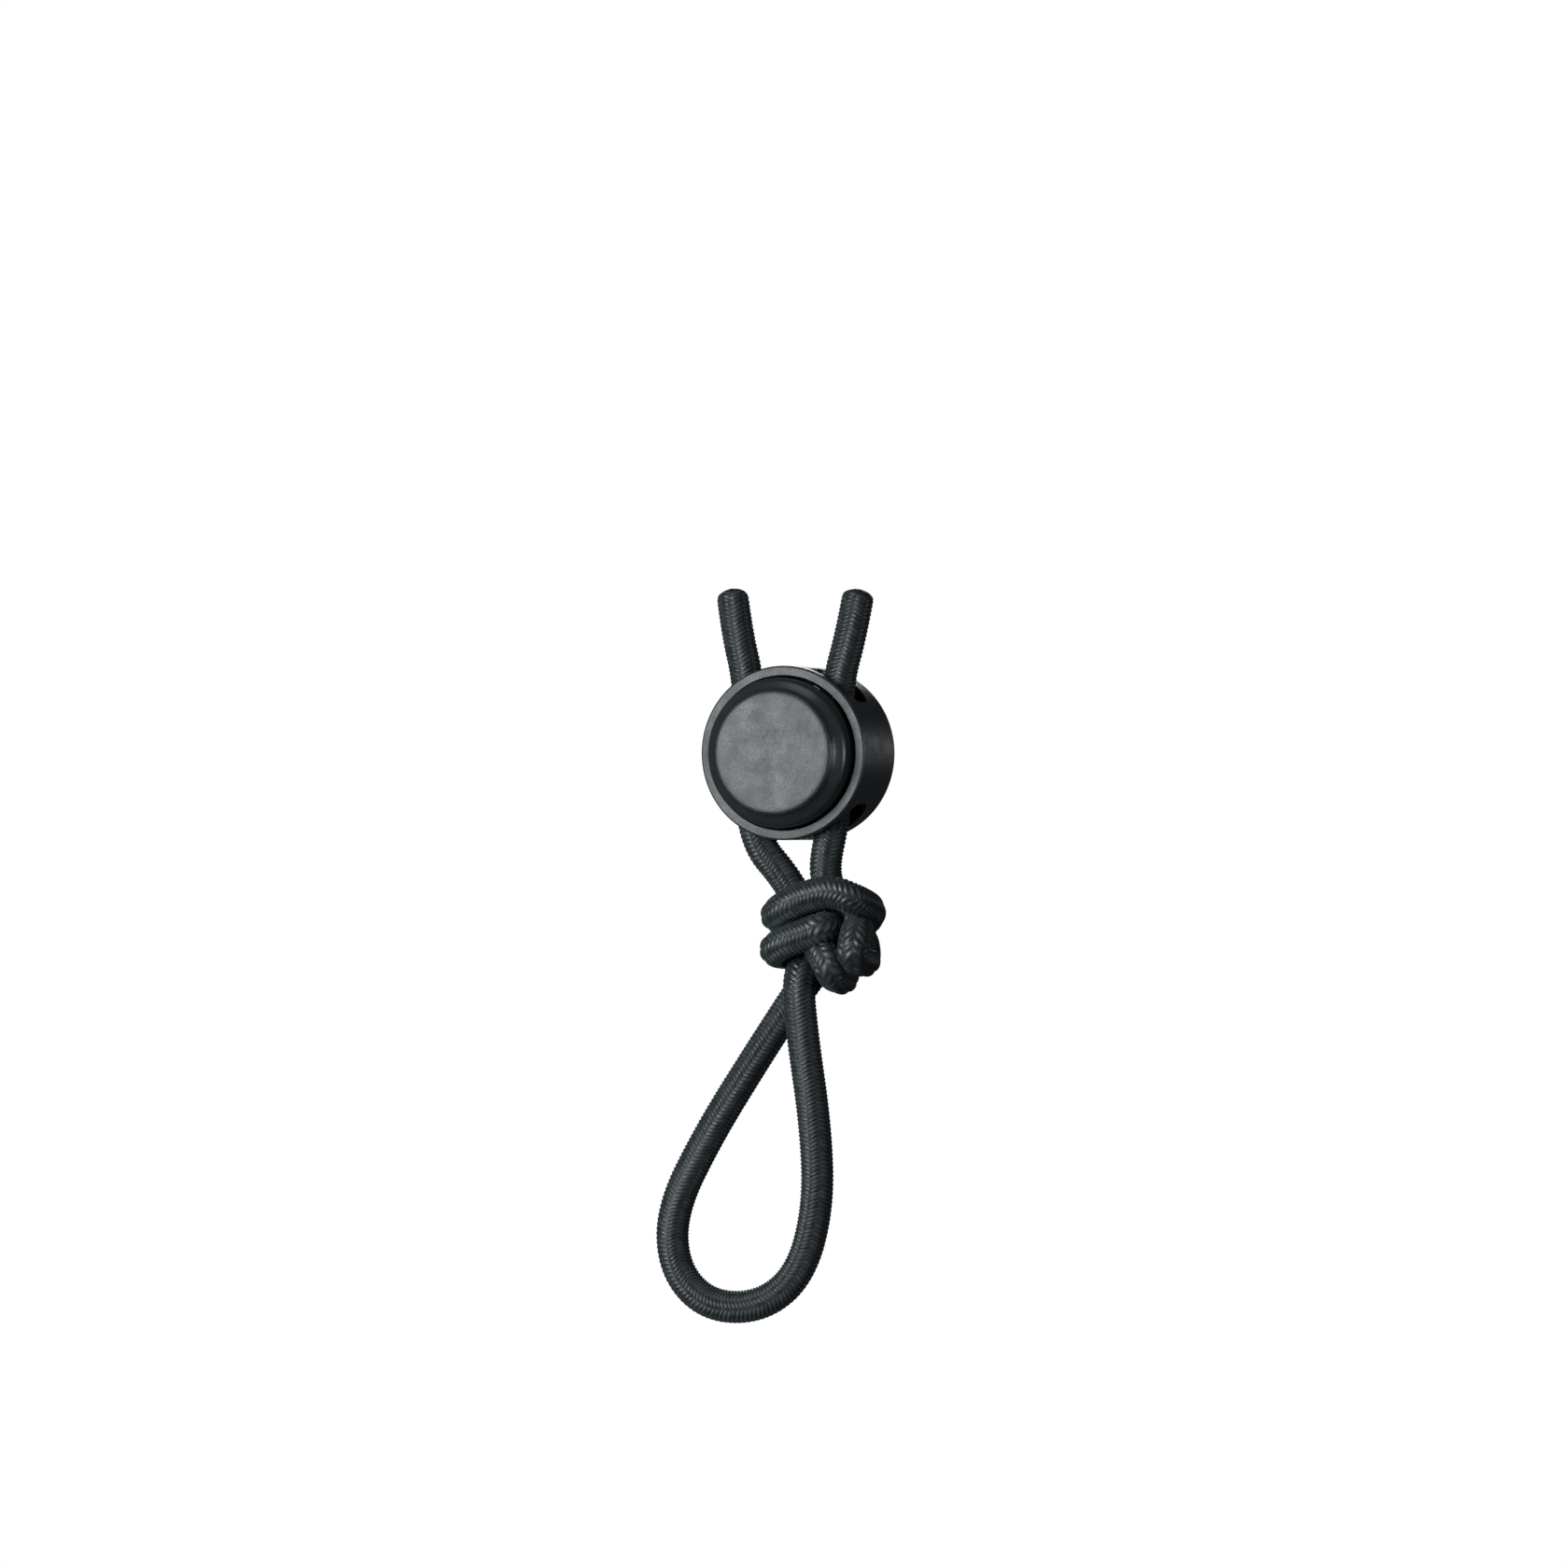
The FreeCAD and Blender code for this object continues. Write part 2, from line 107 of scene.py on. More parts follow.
RIGHT_STRAND_IN_KNOT = [
    # up through the middle behind the lobes, and round the right side to the front
    (0.0028, 0.0050, -0.0332), (0.0062, 0.0056, -0.0304), (0.0084, 0.0038, -0.0288),
    # over the front as the upper wrap, round the left side, and across the back
    (0.0090, -0.0030, -0.0275), (0.0062, -0.0043, -0.0263), (0.0030, -0.0043, -0.0271),
    (0.0004, -0.0043, -0.0283), (-0.0018, -0.0016, -0.0294), (-0.0022, 0.0050, -0.0298),
    (0.0012, 0.0090, -0.0296), (0.0050, 0.0094, -0.0316),
    # round the outside of the right-hand lobe to the front, and up behind the upper wrap
    (0.0068, 0.0058, -0.0346), (0.0080, 0.0008, -0.0344), (0.0087, -0.0042, -0.0341),
    (0.0090, -0.0040, -0.0315), (0.0080, 0.0000, -0.0306), (0.0052, 0.0010, -0.0276),
]
RIGHT_LEG = [
    (0.00345, 0.0003, -0.0246), (0.00505, 0.0, -0.0180), (0.0054, 0.0, -0.0096),
    (0.0055, 0.0, -0.0024), (0.0071, 0.0, 0.0030), (0.0080, 0.0003, 0.0082),
]
CORD_ROUTE = LEFT_LEG + LEFT_STRAND_IN_KNOT + LOOP + RIGHT_STRAND_IN_KNOT + RIGHT_LEG
CORD_RADIUS = 0.0019


def smooth_line(points, steps):
    """The points of the smooth line that a row of control points gives, ends included."""
    curve = bpy.data.curves.new("route", "CURVE")
    curve.dimensions = "3D"
    curve.resolution_u = steps
    spline = curve.splines.new("NURBS")
    spline.points.add(len(points) - 1)
    for control, place in zip(spline.points, points):
        control.co = (*place, 1.0)
    spline.order_u = 3
    spline.use_endpoint_u = True
    holder = bpy.data.objects.new("route", curve)
    bpy.context.scene.collection.objects.link(holder)
    bpy.context.view_layer.update()
    line = bpy.data.meshes.new_from_object(holder)
    found = np.array([vertex.co[:] for vertex in line.vertices])
    bpy.data.objects.remove(holder)
    bpy.data.meshes.remove(line)
    return found


cord_line = smooth_line(CORD_ROUTE, 24)


def travel_along(line):
    """The distance from the line's first point to each of its points."""
    steps = np.linalg.norm(np.diff(line, axis=0), axis=1)
    return np.concatenate(([0.0], np.cumsum(steps)))


def untwisted_sides(line):
    """Two sideways directions at each point of a line, which turn with it and don't spin."""
    ahead = np.gradient(line, axis=0)
    ahead /= np.linalg.norm(ahead, axis=1)[:, None]
    side = np.cross(ahead[0], (0.0, 1.0, 0.0))
    sides = np.empty_like(line)
    for index, forward in enumerate(ahead):
        side = side - forward * side.dot(forward)
        side /= np.linalg.norm(side)
        sides[index] = side
    return sides, np.cross(ahead, sides)


def at_travel(travel, values, wanted):
    """Values known along a line, read at other distances along it."""
    return np.stack([np.interp(wanted, travel, values[:, axis]) for axis in range(3)], axis=-1)


# The braid has sixteen carriers, each over two and under two, so eight columns of floats lean
# left and right by turns, and the floats of neighbouring columns lock half a row apart.
BRAID_COLUMNS = 8
COLUMN_STEPS = 5
ROW_PITCH = 0.000478
RINGS_PER_ROW = 4
FLOAT_HEIGHT = 0.00015
FLOAT_END_DIP = 0.00006
COLUMN_GROOVE = 0.000036
COLUMN_EDGE_WEAVE = 0.30
CORD_SPIN = math.radians(30.0)
TWIST_PER_METRE = math.radians(900.0)
MELTED_END = 0.0011
MELTED_RADIUS = 0.0018
# the share of a melted end on which no float is left, and what keeps its tip from closing up
BARE_SHARE = 0.4
LEAST_TIP = 0.03

cord_travel = travel_along(cord_line)
cord_side, cord_up = untwisted_sides(cord_line)
braid_length = cord_travel[-1]
ring_count = int(round(braid_length / ROW_PITCH * RINGS_PER_ROW)) + 1
steps_round = BRAID_COLUMNS * COLUMN_STEPS

ring_index = np.arange(ring_count)[:, None]
step_index = np.arange(steps_round)[None, :]
column = step_index // COLUMN_STEPS
place_in_column = (step_index % COLUMN_STEPS) / COLUMN_STEPS
between_columns = place_in_column == 0.0
leans_up = column % 2 == 0

ring_travel = ring_index * (braid_length / (ring_count - 1))
from_end = np.minimum(ring_travel, braid_length - ring_travel)
woven = np.clip(from_end / MELTED_END - BARE_SHARE, 0.0, 1.0)
lean = np.where(leans_up, place_in_column - 0.5, 0.5 - place_in_column) * ROW_PITCH
travel = np.clip(ring_travel + lean * woven, 0.0, braid_length)

row_phase = (ring_index / RINGS_PER_ROW + np.where(leans_up, 0.0, 0.5)) % 1.0
crown = np.sin(np.pi * row_phase)
along_float = np.sqrt(np.sin(np.pi * place_in_column))
relief = crown * along_float * FLOAT_HEIGHT - (1.0 - along_float) * FLOAT_END_DIP
relief = np.where(between_columns, -COLUMN_GROOVE, relief)

edge_shift = np.where(between_columns, COLUMN_EDGE_WEAVE * np.cos(2.0 * np.pi * row_phase), 0.0)
turn = (step_index + edge_shift * woven) / steps_round * 2.0 * np.pi
turn = turn + CORD_SPIN + travel * TWIST_PER_METRE

tip = np.clip(from_end / MELTED_END, 0.0, 1.0)
end_rounding = np.sqrt(np.clip(1.0 - (1.0 - tip) ** 2, LEAST_TIP, 1.0))
body_radius = (CORD_RADIUS - FLOAT_HEIGHT) * woven + MELTED_RADIUS * (1.0 - woven)
radius = (body_radius + relief * woven) * end_rounding

centre = at_travel(cord_travel, cord_line, travel)
side = at_travel(cord_travel, cord_side, travel)
up = at_travel(cord_travel, cord_up, travel)
outward = side * np.cos(turn)[..., None] + up * np.sin(turn)[..., None]
outward /= np.linalg.norm(outward, axis=-1)[..., None]
braid_points = centre + outward * radius[..., None]

cord_mesh = bpy.data.meshes.new("shock_cord")
ring_start = np.arange(ring_count - 1)[:, None] * steps_round
here = np.arange(steps_round)[None, :]
beside = (here + 1) % steps_round
faces = np.stack(
    [ring_start + here, ring_start + beside, ring_start + steps_round + beside,
     ring_start + steps_round + here], axis=-1).reshape(-1, 4)
first_cap = list(range(steps_round - 1, -1, -1))
last_cap = list(range((ring_count - 1) * steps_round, ring_count * steps_round))
cord_mesh.from_pydata(braid_points.reshape(-1, 3).tolist(), [], faces.tolist() + [first_cap, last_cap])
cord_mesh.shade_smooth()

# the floats' own coordinates: columns round the cord, and rows along it
braid_map = cord_mesh.uv_layers.new(name="braid")
columns_here = np.broadcast_to(here / COLUMN_STEPS, (ring_count - 1, steps_round))
rows_here = np.broadcast_to(np.arange(ring_count - 1)[:, None] / RINGS_PER_ROW, columns_here.shape)
columns_next = columns_here + 1.0 / COLUMN_STEPS
rows_next = rows_here + 1.0 / RINGS_PER_ROW
corner_columns = np.stack([columns_here, columns_next, columns_next, columns_here], axis=-1)
corner_rows = np.stack([rows_here, rows_here, rows_next, rows_next], axis=-1)
corner_places = np.stack([corner_columns, corner_rows], axis=-1).reshape(-1, 2)
cap_places = np.zeros((2 * steps_round, 2))
braid_map.uv.foreach_set("vector", np.concatenate([corner_places, cap_places]).ravel())

shock_cord = bpy.data.objects.new("shock_cord", cord_mesh)
bpy.context.scene.collection.objects.link(shock_cord)


def add_node(tree, kind, inputs=(), **settings):
    """Adds a shader node, sets what it is set to, and fills or links the inputs given."""
    node = tree.nodes.new(kind)
    for name, value in settings.items():
        setattr(node, name, value)
    for socket, value in dict(inputs).items():
        if isinstance(value, bpy.types.NodeSocket):
            tree.links.new(value, node.inputs[socket])
        else:
            node.inputs[socket].default_value = value
    return node


def calculate(tree, operation, *values):
    """A Math node's result."""
    node = add_node(tree, "ShaderNodeMath", dict(enumerate(values)), operation=operation)
    return node.outputs[0]


def start_group(name, inputs, outputs):
    """A shader node group with named sockets, and its two end nodes."""
    group = bpy.data.node_groups.new(name, "ShaderNodeTree")
    for socket, (kind, value) in inputs.items():
        made = group.interface.new_socket(socket, in_out="INPUT", socket_type=kind)
        if value is not None:
            made.default_value = value
    for socket, kind in outputs.items():
        group.interface.new_socket(socket, in_out="OUTPUT", socket_type=kind)
    return group, group.nodes.new("NodeGroupInput"), group.nodes.new("NodeGroupOutput")


def start_material(name):
    """A material with its Principled shader."""
    material = bpy.data.materials.new(name)
    material.use_nodes = True
    return material, material.node_tree, material.node_tree.nodes["Principled BSDF"]


# the Dark colour is painted shade, laid in the gaps between floats and towards their sides and ends;
# the Light colour is the floats' lightest yarn tone
yarn, yarn_in, yarn_out = start_group(
    "braided_yarn",
    {
        "Places": ("NodeSocketVector", None),
        "Filaments": ("NodeSocketFloat", 4.0),
        "Dark": ("NodeSocketColor", (0.0036, 0.0048, 0.0053, 1.0)),
        "Light": ("NodeSocketColor", (0.012, 0.0152, 0.0165, 1.0)),
    },
    {
        "Color": "NodeSocketColor",
        "Roughness": "NodeSocketFloat",
        "Height": "NodeSocketFloat",
    })
# how a float's relief and its painted shade fade towards its sides and its ends, and how crooked its
# filaments run
SIDE_FADE = 1.6
END_FADE = 0.4
FILAMENT_WANDER = 0.35
# the gaps between floats are painted dark as shade; how much lighter a float is than the gaps: its own
# chance, the bunching of its yarn, a filament
CHANCE_TONE = 0.65
BUNCH_TONE = 0.5
FILAMENT_TONE = 0.15
# the smoothest float's roughness and how much rougher the roughest is, and what stands out
YARN_ROUGH = 0.38
YARN_ROUGH_SPREAD = 0.20
FLOAT_RELIEF = 0.8
FILAMENT_RELIEF = 0.1

yarn_place = add_node(yarn, "ShaderNodeSeparateXYZ", {0: yarn_in.outputs["Places"]})
column_number = calculate(yarn, "FLOOR", yarn_place.outputs["X"])
odd_column = calculate(yarn, "MODULO", column_number, 2.0)
row = calculate(yarn, "MULTIPLY_ADD", odd_column, 0.5, yarn_place.outputs["Y"])
in_row = calculate(yarn, "FRACT", row)
crown_mask = calculate(yarn, "SINE", calculate(yarn, "MULTIPLY", in_row, math.pi))
in_column = calculate(yarn, "FRACT", yarn_place.outputs["X"])
length_mask = calculate(yarn, "SINE", calculate(yarn, "MULTIPLY", in_column, math.pi))
float_relief_and_shade = calculate(
    yarn, "MULTIPLY", calculate(yarn, "POWER", crown_mask, SIDE_FADE),
    calculate(yarn, "POWER", length_mask, END_FADE))
yarn_name = add_node(yarn, "ShaderNodeCombineXYZ", {
    "X": column_number, "Y": calculate(yarn, "FLOOR", row)})
yarn_chance = add_node(yarn, "ShaderNodeTexWhiteNoise", {"Vector": yarn_name.outputs[0]},
                       noise_dimensions="3D")
wander = add_node(yarn, "ShaderNodeTexNoise", {
    "Vector": yarn_in.outputs["Places"], "Scale": 1.7, "Detail": 3.0})
filament_row = calculate(yarn, "MULTIPLY_ADD", wander.outputs["Fac"], FILAMENT_WANDER, in_row)
filament_wave = calculate(yarn, "SINE", calculate(
    yarn, "MULTIPLY", calculate(yarn, "MULTIPLY", filament_row, yarn_in.outputs["Filaments"]),
    2.0 * math.pi))
filament = calculate(yarn, "MULTIPLY_ADD", filament_wave, 0.5, 0.5)
bunching = add_node(yarn, "ShaderNodeTexNoise", {
    "Vector": add_node(yarn, "ShaderNodeVectorMath", {
        0: yarn_in.outputs["Places"], 1: (1.2, 5.0, 1.0)}, operation="MULTIPLY").outputs[0],
    "Scale": 1.0, "Detail": 2.0})
# painted shade: the tone falls to Dark wherever the float's relief falls, in the gaps between floats
# and at their ends
shade = calculate(yarn, "MULTIPLY", float_relief_and_shade, calculate(
    yarn, "MULTIPLY_ADD", yarn_chance.outputs["Value"], CHANCE_TONE, calculate(
        yarn, "MULTIPLY_ADD", bunching.outputs["Fac"], BUNCH_TONE, calculate(
            yarn, "MULTIPLY", filament, FILAMENT_TONE))))
tone = add_node(yarn, "ShaderNodeMix", {
    0: shade, 6: yarn_in.outputs["Dark"], 7: yarn_in.outputs["Light"]}, data_type="RGBA")
rough = calculate(
    yarn, "MULTIPLY_ADD", yarn_chance.outputs["Value"], YARN_ROUGH_SPREAD, YARN_ROUGH)
yarn_height = calculate(yarn, "MULTIPLY_ADD", filament, FILAMENT_RELIEF, calculate(
    yarn, "MULTIPLY", float_relief_and_shade, FLOAT_RELIEF))
yarn.links.new(tone.outputs[2], yarn_out.inputs["Color"])
yarn.links.new(rough, yarn_out.inputs["Roughness"])
yarn.links.new(yarn_height, yarn_out.inputs["Height"])

polyester, tree, shader = start_material("braided_polyester")
braid_places = add_node(tree, "ShaderNodeUVMap", uv_map="braid")
yarns = add_node(tree, "ShaderNodeGroup", node_tree=yarn)
tree.links.new(braid_places.outputs["UV"], yarns.inputs["Places"])
yarn_bump = add_node(tree, "ShaderNodeBump", {
    "Height": yarns.outputs["Height"], "Distance": 0.00009, "Strength": 0.8})
tree.links.new(yarns.outputs["Color"], shader.inputs["Base Color"])
tree.links.new(yarns.outputs["Roughness"], shader.inputs["Roughness"])
tree.links.new(yarn_bump.outputs["Normal"], shader.inputs["Normal"])
shader.inputs["Specular IOR Level"].default_value = 0.28
shader.inputs["Sheen Weight"].default_value = 0.06
shader.inputs["Sheen Roughness"].default_value = 0.4
shader.inputs["Sheen Tint"].default_value = (0.75, 0.85, 0.9, 1.0)

melted, tree, shader = start_material("melted_polyester")
droplets = add_node(tree, "ShaderNodeTexNoise", {
    "Vector": add_node(tree, "ShaderNodeTexCoord").outputs["Object"], "Scale": 1800.0, "Detail": 2.0})
melt_bump = add_node(tree, "ShaderNodeBump", {
    "Height": droplets.outputs["Fac"], "Distance": 0.0002, "Strength": 0.7})
melt_rough = add_node(tree, "ShaderNodeMapRange", {
    "Value": droplets.outputs["Fac"], "To Min": 0.25, "To Max": 0.5})
tree.links.new(melt_bump.outputs["Normal"], shader.inputs["Normal"])
tree.links.new(melt_rough.outputs["Result"], shader.inputs["Roughness"])
shader.inputs["Base Color"].default_value = (0.008, 0.009, 0.01, 1.0)

cord_mesh.materials.append(polyester)
cord_mesh.materials.append(melted)
melted_faces = steps_round * (int(BARE_SHARE * MELTED_END / ROW_PITCH * RINGS_PER_ROW) + 1)
material_of_face = np.zeros(len(cord_mesh.polygons), dtype=np.int32)
material_of_face[:melted_faces] = 1
material_of_face[-2 - melted_faces:] = 1
cord_mesh.polygons.foreach_set("material_index", material_of_face)

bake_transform(shock_cord)
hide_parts("left_leg_sheath", "left_leg_core", "right_leg_sheath", "right_leg_core",
            "cord_knot", "loop_sheath", "loop_core")


# ---- The drum -------------------------------------------------------------------------------
# The housing is one moulding in black acetal, round and closed at the back, with two pairs of
# cord holes through its wall. The mould was spark-eroded, which leaves a fine grain on the
# rim, and was polished a little on the wall so that the moulding would draw out of it.

DRUM_AXIS_HEIGHT = -0.0106
RIM_PLANE = -0.00355
RIM_EDGE = 0.00003
RIM_FADE = 0.00015
BORE_RADIUS = 0.0090
BORE_FLOOR = 0.00625
BORE_MARGIN = 0.0004
BLACK_ACETAL = (0.006, 0.0072, 0.0078, 1.0)
# painted shade: a near-black that stands in for the shadow deep in the bore
BORE_PAINTED_SHADE = (0.001, 0.0012, 0.0013, 1.0)

grain, grain_in, grain_out = start_group(
    "spark_grain",
    {
        "Grains per metre": ("NodeSocketFloat", 7600.0),
        "Mottle": ("NodeSocketFloat", 0.35),
    },
    {
        "Height": "NodeSocketFloat",
        "Mottle": "NodeSocketFloat",
    })
grain_place = add_node(grain, "ShaderNodeTexCoord").outputs["Object"]
grain_lumps = add_node(grain, "ShaderNodeTexNoise", {
    "Vector": grain_place, "Scale": grain_in.outputs["Grains per metre"], "Detail": 1.5,
    "Roughness": 0.5})
grain_height = add_node(grain, "ShaderNodeMapRange", {
    "Value": grain_lumps.outputs["Fac"], "From Min": 0.25, "From Max": 0.75}).outputs["Result"]
cloud = add_node(grain, "ShaderNodeTexNoise", {
    "Vector": grain_place, "Scale": 420.0, "Detail": 4.0, "Roughness": 0.6})
mottle = calculate(grain, "MULTIPLY_ADD", calculate(
    grain, "SUBTRACT", cloud.outputs["Fac"], 0.5), grain_in.outputs["Mottle"], calculate(
        grain, "MULTIPLY", calculate(grain, "SUBTRACT", 0.5, grain_height), 0.12))
grain.links.new(grain_height, grain_out.inputs["Height"])
grain.links.new(mottle, grain_out.inputs["Mottle"])


def own_place(tree):
    """A shader point's own place, as the sockets X, Y and Z."""
    coordinates = add_node(tree, "ShaderNodeTexCoord")
    return add_node(tree, "ShaderNodeSeparateXYZ", {0: coordinates.outputs["Object"]}).outputs


def off_drum_axis(tree, place):
    """A shader point's distance from the axis that the drum and the button share."""
    sideways = add_node(tree, "ShaderNodeCombineXYZ", {"X": place["X"], "Z": place["Z"]})
    distance = add_node(tree, "ShaderNodeVectorMath", {
        0: sideways.outputs[0], 1: (0.0, 0.0, DRUM_AXIS_HEIGHT)}, operation="DISTANCE")
    return distance.outputs["Value"]


def grained_finish(tree, grains, mask, rough, relief, depth):
    """The roughness and normal of a moulding, from smooth to grained as the mask says."""
    rough_here = add_node(tree, "ShaderNodeMapRange", {
        "Value": mask, "To Min": rough[0], "To Max": rough[1]})
    relief_here = add_node(tree, "ShaderNodeMapRange", {
        "Value": mask, "To Min": relief[0], "To Max": relief[1]})
    height = calculate(tree, "MULTIPLY", grains.outputs["Height"], relief_here.outputs["Result"])
    bump = add_node(tree, "ShaderNodeBump", {"Height": height, "Distance": depth, "Strength": 1.0})
    roughness = calculate(tree, "ADD", rough_here.outputs["Result"], grains.outputs["Mottle"])
    return roughness, bump.outputs["Normal"]


drum_plastic, tree, shader = start_material("drum_acetal")
grains = add_node(tree, "ShaderNodeGroup", node_tree=grain)
drum_place = own_place(tree)
rim_mask = add_node(tree, "ShaderNodeMapRange", {
    "Value": drum_place["Y"], "From Min": RIM_PLANE + RIM_FADE, "From Max": RIM_PLANE + RIM_EDGE})
drum_rough, drum_normal = grained_finish(
    tree, grains, rim_mask.outputs["Result"], rough=(0.40, 0.60), relief=(0.25, 1.0), depth=0.00003)

# hardly any light gets into the narrow gap between the button and the bore, so the bore's wall there
# is painted near-black as painted shade and made fully rough
in_bore = calculate(tree, "LESS_THAN", off_drum_axis(tree, drum_place), BORE_RADIUS)
past_rim = calculate(tree, "GREATER_THAN", drum_place["Y"], RIM_PLANE + BORE_MARGIN)
before_back = calculate(tree, "LESS_THAN", drum_place["Y"], BORE_FLOOR + BORE_MARGIN)
bore_shade_mask = calculate(tree, "MULTIPLY", in_bore, calculate(tree, "MULTIPLY", past_rim, before_back))
bore_shade_tone = add_node(tree, "ShaderNodeMix", {0: bore_shade_mask, 6: BLACK_ACETAL, 7: BORE_PAINTED_SHADE},
                     data_type="RGBA")
tree.links.new(bore_shade_tone.outputs[2], shader.inputs["Base Color"])
tree.links.new(calculate(tree, "MAXIMUM", drum_rough, bore_shade_mask), shader.inputs["Roughness"])
tree.links.new(drum_normal, shader.inputs["Normal"])
shader.inputs["Specular IOR Level"].default_value = 0.5

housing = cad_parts["housing"]
for drum_slot in housing.material_slots:
    drum_slot.material = drum_plastic


# ---- The push button ------------------------------------------------------------------------
# The button is a second moulding in the same black acetal. Its face is grained like leather so
# that a fingertip doesn't slip, and the grain stops at the face's edge, where a smooth
# shoulder runs down into the drum.

FACE_RADIUS = 0.0070
FACE_FADES_FROM = 0.0004
FACE_FADES_TO = 0.0001
FACE_EDGE_WANDER = 0.0006

button_plastic, tree, shader = start_material("button_acetal")
grains = add_node(tree, "ShaderNodeGroup", node_tree=grain)
grains.inputs["Grains per metre"].default_value = 7000.0
ragged = calculate(tree, "MULTIPLY_ADD", grains.outputs["Height"], FACE_EDGE_WANDER,
                   off_drum_axis(tree, own_place(tree)))
face_mask = add_node(tree, "ShaderNodeMapRange", {
    "Value": ragged, "From Min": FACE_RADIUS + FACE_FADES_FROM,
    "From Max": FACE_RADIUS + FACE_FADES_TO})
button_rough, button_normal = grained_finish(
    tree, grains, face_mask.outputs["Result"], rough=(0.33, 0.60), relief=(0.15, 1.0),
    depth=0.000026)
tree.links.new(button_rough, shader.inputs["Roughness"])
tree.links.new(button_normal, shader.inputs["Normal"])
shader.inputs["Base Color"].default_value = BLACK_ACETAL
shader.inputs["Specular IOR Level"].default_value = 0.5

FRONT_OUTLINE = [
    # (radius, place along the drum's axis), from the skirt up over the shoulder to the face
    (0.0086, -0.00405), (0.0086, -0.00495), (0.00833, -0.00552), (0.00780, -0.00592),
    (0.00735, -0.0063), (0.0071, -0.00672), (0.0067, -0.00696), (0.0056, -0.00701),
    (0.0028, -0.00704), (0.0, -0.00705),
]
SKIRT_EDGE = FRONT_OUTLINE[0][1]
POCKET_WALL = 0.0022
POCKET_FLOOR = -0.00455
HAIR = 0.00001
MERGED_WITHIN = 0.000001

# the CAD button's plain front is cut away at the skirt, and a finer one is turned in its place
moulding = bmesh.new()
moulding.from_mesh(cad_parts["push_button"].data)
bmesh.ops.remove_doubles(moulding, verts=moulding.verts, dist=MERGED_WITHIN)
plain_front = []
for face in moulding.faces:
    face_middle = face.calc_center_median()
    off_axis = math.hypot(face_middle.x, face_middle.z - DRUM_AXIS_HEIGHT)
    in_pocket = off_axis < POCKET_WALL and face_middle.y > POCKET_FLOOR - HAIR
    if face_middle.y < SKIRT_EDGE - HAIR and not in_pocket:
        plain_front.append(face)
bmesh.ops.delete(moulding, geom=plain_front, context="FACES")
skirt_ring = [vert for vert in moulding.verts if any(edge.is_boundary for edge in vert.link_edges)]
skirt_ring.sort(key=lambda vert: math.atan2(vert.co.z - DRUM_AXIS_HEIGHT, vert.co.x))
outline = smooth_line([(out, along, 0.0) for out, along in FRONT_OUTLINE], 8)
last_ring = skirt_ring
for out, along, _ in outline[1:-1]:
    ring = []
    for vert in skirt_ring:
        around = Vector((vert.co.x, 0.0, vert.co.z - DRUM_AXIS_HEIGHT)).normalized()
        ring.append(moulding.verts.new(around * out + Vector((0.0, along, DRUM_AXIS_HEIGHT))))
    for index, vert in enumerate(ring):
        before = index - 1
        moulding.faces.new((last_ring[before], last_ring[index], vert, ring[before]))
    last_ring = ring
face_centre = moulding.verts.new((0.0, outline[-1][1], DRUM_AXIS_HEIGHT))
for index, vert in enumerate(last_ring):
    moulding.faces.new((last_ring[index - 1], vert, face_centre))
bmesh.ops.recalc_face_normals(moulding, faces=moulding.faces)
button_mesh = bpy.data.meshes.new("button")
moulding.to_mesh(button_mesh)
moulding.free()
button_mesh.shade_smooth()
button_mesh.set_sharp_from_angle(angle=math.radians(35.0))
button_mesh.materials.clear()
button_mesh.materials.append(button_plastic)
button = bpy.data.objects.new("button_moulding", button_mesh)
bpy.context.scene.collection.objects.link(button)
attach(button, "button")
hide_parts("push_button")


# ---- The spring -----------------------------------------------------------------------------
# A compression spring in stainless music wire pushes the button out. It sits round a peg on the
# drum's floor, inside the button's blind hole, with its two end coils closed.

WIRE_RADIUS = 0.0002
COIL_RADIUS = 0.00172
SPRING_FRONT = -0.00445
SPRING_BACK = 0.00625
SPRING_TURNS = 9.0
CLOSED_TURNS = 1.25
STEPS_PER_TURN = 48
WIRE_STEPS = 12


def spring_rise(turns):
    """How far along the spring the wire has gone, as a share, with the end coils lying flat."""
    closed = CLOSED_TURNS * 2.0 * WIRE_RADIUS / (SPRING_BACK - SPRING_FRONT)
    if turns < CLOSED_TURNS:
        return closed * turns / CLOSED_TURNS
    if turns > SPRING_TURNS - CLOSED_TURNS:
        return 1.0 - closed * (SPRING_TURNS - turns) / CLOSED_TURNS
    open_share = (turns - CLOSED_TURNS) / (SPRING_TURNS - 2.0 * CLOSED_TURNS)
    return closed + (1.0 - 2.0 * closed) * open_share


coils = bmesh.new()
wire_rings = []
spring_run = SPRING_BACK - SPRING_FRONT - 2.0 * WIRE_RADIUS
for step in range(int(SPRING_TURNS * STEPS_PER_TURN) + 1):
    turns = step / STEPS_PER_TURN
    angle = turns * 2.0 * math.pi
    radial = Vector((math.cos(angle), 0.0, math.sin(angle)))
    depth = SPRING_FRONT + WIRE_RADIUS + spring_rise(turns) * spring_run
    wire_middle = radial * COIL_RADIUS + Vector((0.0, depth, DRUM_AXIS_HEIGHT))
    ring = []
    for wire_step in range(WIRE_STEPS):
        wire_angle = wire_step / WIRE_STEPS * 2.0 * math.pi
        offset = radial * math.cos(wire_angle) + Vector((0.0, math.sin(wire_angle), 0.0))
        ring.append(coils.verts.new(wire_middle + offset * WIRE_RADIUS))
    wire_rings.append(ring)
for ring, next_ring in zip(wire_rings, wire_rings[1:]):
    for wire_step in range(WIRE_STEPS):
        after = (wire_step + 1) % WIRE_STEPS
        coils.faces.new((ring[wire_step], next_ring[wire_step], next_ring[after], ring[after]))
